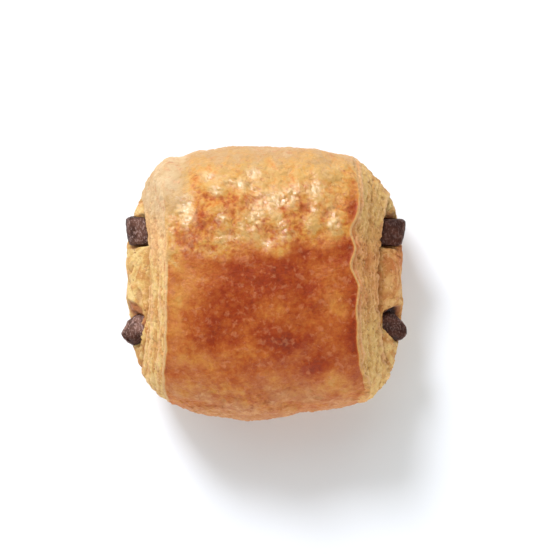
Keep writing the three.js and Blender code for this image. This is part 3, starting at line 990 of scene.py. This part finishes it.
def one_flake(middle, normal, size, rng):
    """A thin, bent chip with a ragged edge, lying askew and half sunk in the dough."""
    normal = normal + rng.normal(0, 0.22, 3)
    normal = normal / np.linalg.norm(normal)
    along = np.cross(normal, rng.normal(0, 1, 3))
    along = along / np.linalg.norm(along)
    across = np.cross(normal, along)
    angle = np.arange(FLAKE_SIDES) / FLAKE_SIDES * TURN
    reach = size / 2 * rng.uniform(0.65, 1.15, FLAKE_SIDES)
    narrow = rng.uniform(0.45, 0.9)
    thick = size * rng.uniform(0.12, 0.24)
    rings = []
    for share, height in FLAKE_RINGS:
        flat_x, flat_y = reach * share * np.cos(angle), reach * share * np.sin(angle) * narrow
        up = height * thick + 0.25 * flat_x**2 / size + rng.normal(0, 0.06 * thick, FLAKE_SIDES)
        rings.append(middle + flat_x[:, None] * along + flat_y[:, None] * across + up[:, None] * normal)
    return close_rings(np.array(rings))


def make_flakes(pieces, material):
    """Small flakes and crumbs that stuck to the cut ends and the front, as one piece."""
    place, normal = (np.concatenate(part) for part in zip(*map(surface_of, pieces)))
    facing_up = (normal[:, 2] > 0.05) & (place[:, 2] > 3)
    place, normal = place[facing_up], normal[facing_up]
    rng = np.random.default_rng(5)
    shape = ring_faces(len(FLAKE_RINGS), FLAKE_SIDES)
    points, faces, count = [], [], 0
    for at_x, at_y, reach_x, reach_y, many, smallest, largest in FLAKED:
        far = ((place[:, 0] - at_x) / reach_x) ** 2 + ((place[:, 1] - at_y) / reach_y) ** 2
        for index in rng.choice(np.flatnonzero(far < 2.5), many, replace=False):
            size = smallest + (largest - smallest) * rng.random() ** 2
            flake = one_flake(place[index], normal[index], size, rng)
            faces += [tuple(corner + count for corner in face) for face in shape]
            points.append(flake)
            count += len(flake)
    points = np.concatenate(points)
    marks = dict(brown=0.12 + 0.2 * noise(points, 3, 81), cut=np.full(count, 0.9), layer=np.zeros(count))
    return add_piece("pastry_flakes", points, faces, marks, material)


# ---- materials


class Graph:
    """The nodes of a material or a world, made in short calls."""

    def __init__(self, owner, shader="Principled BSDF"):
        owner.use_nodes = True
        self.owner, self.tree = owner, owner.node_tree
        self.shader = self.tree.nodes[shader]
        self.coordinates = self.node("ShaderNodeTexCoord").outputs
        self.place = self.vector("SCALE", {0: self.coordinates["Object"], "Scale": 1 / MM})

    def set(self, socket, value):
        """Links another node's output to a socket, or sets the socket's own value."""
        if isinstance(value, bpy.types.NodeSocket):
            self.tree.links.new(value, socket)
        else:
            socket.default_value = value

    def node(self, kind, inputs=None, **settings):
        made = self.tree.nodes.new(kind)
        for key, value in settings.items():
            setattr(made, key, value)
        for key, value in (inputs or {}).items():
            self.set(made.inputs[key], value)
        return made

    def attribute(self, name):
        return self.node("ShaderNodeAttribute", attribute_name=name).outputs["Fac"]

    def vector(self, operation, inputs):
        return self.node("ShaderNodeVectorMath", inputs, operation=operation).outputs[0]

    def math(self, operation, *values, clamp=False):
        inputs = dict(enumerate(values))
        return self.node("ShaderNodeMath", inputs, operation=operation, use_clamp=clamp).outputs[0]

    def times(self, a, b):
        return self.math("MULTIPLY", a, b)

    def noise(self, size, detail=2, roughness=0.5, distortion=0, place=None):
        """Noise from 0 to 1 with features of that size in millimetres."""
        inputs = {"Vector": place or self.place, "Scale": 1 / size, "Detail": detail}
        inputs |= {"Roughness": roughness, "Distortion": distortion}
        return self.node("ShaderNodeTexNoise", inputs).outputs["Fac"]

    def fit(self, value, low, high, to_low=0, to_high=1):
        inputs = {0: value, 1: low, 2: high, 3: to_low, 4: to_high}
        return self.node("ShaderNodeMapRange", inputs, interpolation_type="SMOOTHSTEP").outputs[0]

    def patches(self, low, high, *shape):
        """Patches from 0 to 1, where noise of that shape goes from low to high."""
        return self.fit(self.noise(*shape), low, high)

    def lines(self, size, distortion, half_width, patches):
        """Thin wavering lines, which show only in patches."""
        off = self.math("ABSOLUTE", self.math("SUBTRACT", self.noise(size, 2, 0.5, distortion), 0.5))
        return self.times(self.fit(off, half_width, LINE_CORE), patches)

    def ramp(self, value, stops):
        """A colour ramp from stops of a position, red, green and blue."""
        made = self.node("ShaderNodeValToRGB", {0: value})
        elements = made.color_ramp.elements
        while len(elements) < len(stops):
            elements.new(0.5)
        for element, (position, *colour) in zip(elements, stops):
            element.position = position
            element.color = (*srgb(*colour), 1)
        return made.outputs[0]

    def mix(self, share, a, b, blend="MIX"):
        made = self.node("ShaderNodeMix", {0: share}, data_type="RGBA", blend_type=blend)
        for socket, colour in ((made.inputs[6], a), (made.inputs[7], b)):
            self.set(socket, (*colour, 1) if isinstance(colour, tuple) else colour)
        return made.outputs[2]

    def paint(self, under, name, share, strength=1):
        """A colour of COLOURS laid over another one, as strongly as that where the share is 1."""
        return self.mix(self.times(share, strength), under, srgb(*COLOURS[name]))

    def bump(self, height, distance, normal=None):
        """A bump of that height in millimetres, on top of another normal."""
        inputs = {"Height": height, "Distance": distance * MM}
        if normal is not None:
            inputs["Normal"] = normal
        return self.node("ShaderNodeBump", inputs).outputs[0]

    def finish(self, **inputs):
        for key, value in inputs.items():
            self.set(self.shader.inputs[key.replace("_", " ")], value)
        return self.owner


def material_graph(name):
    return Graph(bpy.data.materials.new(name))


def srgb(red, green, blue):
    """A colour as numbers from 0 to 255, as linear values."""
    return tuple(((c / 255 + 0.055) / 1.055) ** 2.4 if c > 10 else c / 3294 for c in (red, green, blue))


LINE_CORE = 0.004  # how far from the middle of a thin line it is still full

# The skin's colour as it browns, where it is golden and where it is russet: how brown, red, green, blue.
GOLDEN = (
    (0, 196, 170, 130), (0.2, 175, 138, 86), (0.33, 189, 146, 80), (0.44, 190, 137, 62),
    (0.55, 187, 120, 46), (0.66, 168, 87, 30), (0.8, 144, 54, 6), (1, 98, 30, 8),
)
RUSSET = (
    (0, 192, 162, 122), (0.2, 173, 131, 83), (0.33, 186, 137, 76), (0.44, 188, 118, 54),
    (0.55, 175, 99, 49), (0.66, 160, 75, 25), (0.8, 138, 46, 10), (1, 94, 28, 14),
)
LEAVES = ((0, 188, 134, 74), (0.5, 204, 164, 96), (1, 214, 184, 120))
# What is painted over the skin, over the crumb and over the chocolate. Pale blisters are partly paler
# skin and partly a painted highlight; pits, holes, crevices, the mouths and their darkest parts are
# painted shade; raised crumb is painted light; the sticks' rims are a painted highlight, and their
# bloom is partly bloom and partly painted sheen.
COLOURS = dict(
    flecks=(212, 142, 98), crust=(174, 122, 84), crumbly=(214, 168, 116), wrinkles=(226, 160, 116),
    scorched=(128, 54, 28), creases=(146, 82, 34), pale_and_glinting_blisters=(230, 198, 144),
    blush=(206, 146, 92), ridge=(218, 176, 128), pits=(156, 102, 50), lit_raised_crumb=(226, 192, 142),
    holes=(134, 84, 40), deep=(160, 98, 48), toasted_ridge=(214, 164, 122), mouth=(162, 100, 60),
    deepest_shade=(46, 22, 14),
    cloudy=(68, 31, 17), bloom_and_sheen=(138, 102, 88), edge=(150, 116, 102), scuffs=(180, 150, 140),
)
DARK_CHOCOLATE = (43, 15, 6)
TOASTED = (0.9, 0.56, 0.46)  # what toasting leaves of the crumb's red, green and blue
LEAVES_TINTED_APART = 7.3
# The skin's speckles: their size, detail and strength. The middle ones grow on blistered skin.
SPECKLES = ((2.6, 2, 0.03), (1, 3, None), (0.4, 2, 0.02))


def skin_level(g, brown, pucker):
    """How brown the skin is, with speckles."""
    level = brown
    for size, detail, strength in SPECKLES:
        uneven = g.fit(g.noise(size, detail, 0.5, 0.3), 0.3, 0.7, -1, 1)
        level = g.math("MULTIPLY_ADD", uneven, strength or g.fit(pucker, 0.2, 0.8, 0.045, 0.1), level)
    return g.math("MAXIMUM", level, g.times(pucker, PALEST_GLAZED))


def skin_colour(g, brown, pucker):
    """Egg-washed skin from golden to dark brown, with flecks, crumbly patches, wrinkles and creases, and
    blister tops painted pale, partly as paler skin and partly as a painted highlight.
    """
    crust = g.attribute("crust")
    level = skin_level(g, brown, pucker)
    least, most = g.fit(pucker, 0.1, 0.8, 0.3, 0), g.fit(pucker, 0.1, 0.8, 0.8, 0.3)
    russet = g.fit(g.noise(3.4, 3, 0.55, 0.5), 0.35, 0.65, least, most)
    skin = g.mix(russet, g.ramp(level, GOLDEN), g.ramp(level, RUSSET))
    skin = g.paint(skin, "flecks", g.patches(0.54, 0.68, 1.5, 3, 0.55, 0.3), 0.3)
    dry = g.math("MAXIMUM", crust, g.times(pucker, 0.22))
    crumbly = g.times(g.patches(0.46, 0.66, 1.7, 4, 0.6, 0.2), dry)
    skin = g.paint(skin, "crust", crust, 0.5)
    skin = g.paint(skin, "crumbly", crumbly, 0.6)
    skin = g.paint(skin, "wrinkles", g.lines(2.6, 0.9, 0.016, g.patches(0.54, 0.62, 1.9, 1)), 0.14)
    skin = g.paint(skin, "scorched", g.patches(0.58, 0.72, 1.5, 3, 0.6, 0.6), 0.35)
    creases = g.lines(2, 0.8, 0.03, g.patches(0.46, 0.58, 1.7, 1))
    skin = g.paint(skin, "creases", creases, g.fit(pucker, 0, 1, 0.12, 0.5))
    # The blisters' tops are painted pale, partly as paler skin and partly as a painted highlight.
    return g.paint(skin, "pale_and_glinting_blisters", g.attribute("pale_and_glinting_blister"), 0.45)


def leaf_colour(g):
    """The cut leaves' colour, which changes from leaf to leaf where they show, and else by patches."""
    number, leafy = g.math("FLOOR", g.attribute("layer")), g.attribute("leafy")
    apart = g.node("ShaderNodeCombineXYZ", {0: g.times(number, LEAVES_TINTED_APART)}).outputs[0]
    wavy = g.vector("SCALE", {0: g.place, "Scale": 0.3})
    tint = g.noise(1, 2, 0.5, 0, g.vector("ADD", {0: apart, 1: wavy}))
    tint = g.fit(tint, 0.35, 0.65, g.fit(leafy, 0, 1, 0.4, 0), g.fit(leafy, 0, 1, 0.6, 1))
    return g.ramp(tint, LEAVES)


def painted_hole_shade(g):
    """The painted shade of small round holes in the crumb, in patches."""
    cells = g.node("ShaderNodeTexVoronoi", {"Vector": g.place, "Scale": 1 / 1.15}).outputs["Distance"]
    ragged = g.math("MULTIPLY_ADD", g.noise(0.5, 2), 0.5, g.math("SUBTRACT", cells, 0.25))
    return g.times(g.fit(ragged, 0.24, 0.1), g.patches(0.42, 0.55, 2.2, 1))


def crumb_colour(g, brown):
    """Pale crumb of the cut leaves, with painted shade in its pits, holes and crevices, painted light on
    raised crumb, toasted places, and painted shade in the mouths.
    """
    ridge, mouth = g.attribute("ridge"), g.attribute("mouth")
    crumb = g.paint(leaf_colour(g), "blush", g.patches(0.5, 0.7, 1.8, 3, 0.6), 0.4)
    crumb = g.paint(crumb, "ridge", ridge, 0.6)
    # Painted shade in the pits and small holes, and painted light on the raised crumb.
    pits = g.noise(0.95, 3, 0.6, 0.6)
    pitted = g.times(g.patches(0.4, 0.6, 2.4, 2, 0.5), g.fit(brown, 0, 0.3, 0.4, 0.75))
    crumb = g.paint(crumb, "pits", g.fit(pits, 0.52, 0.62), pitted)
    crumb = g.paint(crumb, "lit_raised_crumb", g.fit(pits, 0.46, 0.34), 0.6)
    crumb = g.paint(crumb, "holes", painted_hole_shade(g), 0.7)
    # Painted shade in the crevices.
    crumb = g.paint(crumb, "deep", g.attribute("depth"), 0.65)
    crumb = g.mix(g.fit(brown, 0, 0.55), crumb, TOASTED, "MULTIPLY")
    crumb = g.paint(crumb, "toasted_ridge", ridge, 0.45)
    # Painted shade in the mouths at the sticks, darkest deep inside.
    crumb = g.paint(crumb, "mouth", g.fit(mouth, 0, 0.55))
    return g.paint(crumb, "deepest_shade", g.fit(mouth, 0.5, 1))


def make_dough():
    """Baked laminated dough: egg-washed brown skin, and pale leaves where it was cut."""
    g = material_graph("baked_dough")
    brown, cut, pucker = g.attribute("brown"), g.attribute("cut"), g.attribute("pucker")
    uncut = g.math("SUBTRACT", 1, cut, clamp=True)
    grain = g.bump(g.noise(0.9, 3, 0.6, 0.4), 0.45)
    return g.finish(
        Base_Color=g.mix(cut, skin_colour(g, brown, pucker), crumb_colour(g, brown)),
        Roughness=g.fit(g.noise(1.5, 2), 0.3, 0.7, 0.45, 0.62),
        Normal=g.bump(g.noise(0.3, 3, 0.6), 0.12, grain),
        Coat_Weight=g.times(uncut, g.attribute("glaze")),
        Coat_Normal=g.bump(g.noise(0.7, 3, 0.6), 0.24),
        Coat_Roughness=0.12,
        Coat_IOR=1.7,
        Specular_IOR_Level=0.14,
    )


SCUFF_STRETCH = (1.7, 0.8, 1.3)


def make_chocolate():
    """Dull dark chocolate, scuffed and a little bloomed, with painted sheen where bloomed and a painted
    highlight on the rims of its ends.
    """
    g = material_graph("chocolate")
    bloom_and_sheen, edge = g.attribute("bloom_and_sheen"), g.attribute("edge")
    stretched = g.vector("MULTIPLY", {0: g.place, 1: SCUFF_STRETCH})
    scuffs = g.patches(0.5, 0.6, 0.6, 4, 0.7, 0.2, stretched)
    cloudy = g.patches(0.35, 0.7, 2.4, 3)
    colour = g.paint(srgb(*DARK_CHOCOLATE), "cloudy", cloudy)
    # Paler partly with bloom and partly with painted sheen.
    colour = g.paint(colour, "bloom_and_sheen", bloom_and_sheen, g.fit(cloudy, 0, 1, 0.2, 0.6))
    # A painted highlight on the rims of the ends.
    colour = g.paint(colour, "edge", edge, 0.35)
    colour = g.paint(colour, "scuffs", scuffs, g.fit(bloom_and_sheen, 0, 0.8, 0.15, 0.6))
    grain = g.bump(g.noise(0.8, 4, 0.65), 0.5)
    return g.finish(
        Base_Color=colour,
        Roughness=g.fit(cloudy, 0, 1, 0.42, 0.6),
        Normal=g.bump(g.noise(0.28, 3, 0.6), 0.14, grain),
        Specular_IOR_Level=0.12,
    )


# ---- floor and light

FLOOR_REACH = 1500  # to each side
FLOOR_COLOURS = ((0.85, 0.875, 0.9), (0.87, 0.895, 0.92))
# A studio that is dark overhead, where the camera is, and pale towards the horizon: from which to
# which way up it changes, and its strength there.
SKY_FROM, SKY_TO = 0.25, 0.9
HORIZON_LIGHT, ZENITH_LIGHT = 1.3, 0.02
# The lights: name, place, width and height, watts and colour.
LIGHTS = (
    ("window", (-240, 620, 560), (1250, 1000), 4.6, (0.95, 1, 1)),
    ("sparkle", (-230, 450, 480), (180, 180), 4, (0.93, 0.95, 1.04)),
    ("front_card", (210, -720, 260), (1200, 380), 4.1, (1, 0.98, 0.94)),
)


def make_floor():
    """The white floor of the studio, with faint clouds in its colour."""
    g = material_graph("floor_white")
    colour = g.mix(g.patches(0.3, 0.7, 40, 2), *FLOOR_COLOURS)
    material = g.finish(Base_Color=colour, Roughness=0.9, Specular_IOR_Level=0.1)
    mesh = bpy.data.meshes.new("floor")
    corners = np.array([(-1, -1, 0), (1, -1, 0), (1, 1, 0), (-1, 1, 0)]) * FLOOR_REACH * MM
    mesh.from_pydata(corners, [], [(0, 1, 2, 3)])
    mesh.materials.append(material)
    floor = new_object("floor", mesh)


def add_light(name, place, size, watts, colour):
    """A soft box at a place in millimetres, turned to the pastry."""
    data = bpy.data.lights.new(name, "AREA")
    data.shape = "RECTANGLE"
    data.size, data.size_y = np.array(size) * MM
    data.energy = watts
    data.color = colour
    light = new_object(name, data)
    at = np.array(place, float) * MM
    light.location = at
    toward = np.array((0, 0, HEIGHT / 2 * MM)) - at
    light.rotation_mode = "QUATERNION"
    light.rotation_quaternion = Vector(toward).to_track_quat("-Z", "Y")


def make_world():
    """The light that comes from all round, by how far up a way points."""
    world = Graph(bpy.data.worlds.new("studio"), "Background")
    up = world.node("ShaderNodeSeparateXYZ", {0: world.coordinates["Generated"]}).outputs[2]
    strength = world.fit(up, SKY_FROM, SKY_TO, HORIZON_LIGHT, ZENITH_LIGHT)
    bpy.context.scene.world = world.finish(Color=(1, 1, 1, 1), Strength=strength)
    bpy.context.scene.view_settings.view_transform = "Standard"


# ---- the whole

make_camera()
dough = make_dough()
chocolate = make_chocolate()
baked = [make_skin(dough)]
for end, side in ((LEFT, "left"), (RIGHT, "right")):
    baked.append(make_wraps(end, "pastry_wraps_" + side, dough))
    baked.append(make_coil(end, "pastry_coil_" + side, dough))
make_flakes(baked, dough)
for stick_name, stick in STICKS.items():
    make_stick(stick_name, stick, chocolate)
make_floor()
make_world()
for light in LIGHTS:
    add_light(*light)
